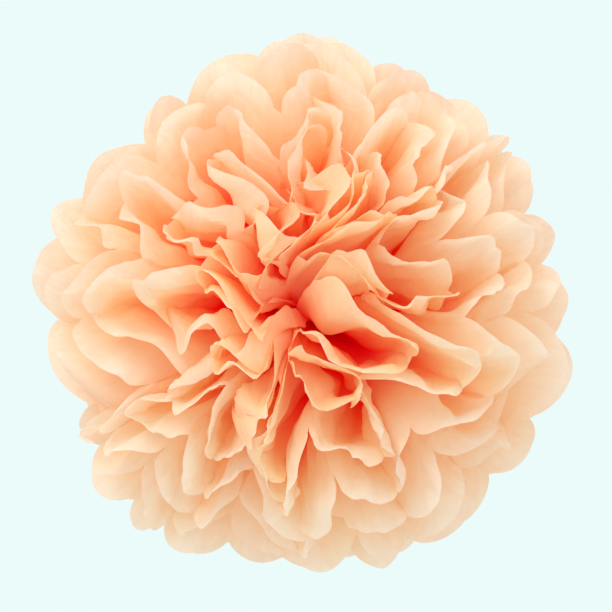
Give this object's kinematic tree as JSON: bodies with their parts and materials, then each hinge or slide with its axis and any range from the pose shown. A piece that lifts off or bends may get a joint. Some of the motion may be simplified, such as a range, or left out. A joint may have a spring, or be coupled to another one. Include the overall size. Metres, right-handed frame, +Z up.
{
  "type": "tissue paper pom pom",
  "caption": "Hanging tissue paper ball: pleated sheets with rounded petal ends, tied at the waist with soft wire and pulled apart into a full round flower.",
  "frame": {"origin": "the tied waist, at the ball's centre", "axes": "+Z up along the hanging thread and the wire's twisted tail, across the pleats; X along the folded strip, from its left end to its right end; -Y towards the pictured face, through the pole of the front petals"},
  "size_m": [0.251, 0.2558, 0.2497],
  "materials": {
    "tissue": "matte, thin and translucent",
    "soft_wire": "satin"
  },
  "bodies": {
    "root": {"tissue_sheet_01": "tissue", "tissue_sheet_02": "tissue", "tissue_sheet_03": "tissue", "tissue_sheet_04": "tissue", "tissue_sheet_05": "tissue", "tissue_sheet_06": "tissue", "tissue_sheet_07": "tissue", "tissue_sheet_08": "tissue", "tissue_sheet_09": "tissue", "tissue_sheet_10": "tissue", "tissue_sheet_11": "tissue", "tissue_sheet_12": "tissue", "wire_tie": "soft_wire"}
  },
  "joints": []
}
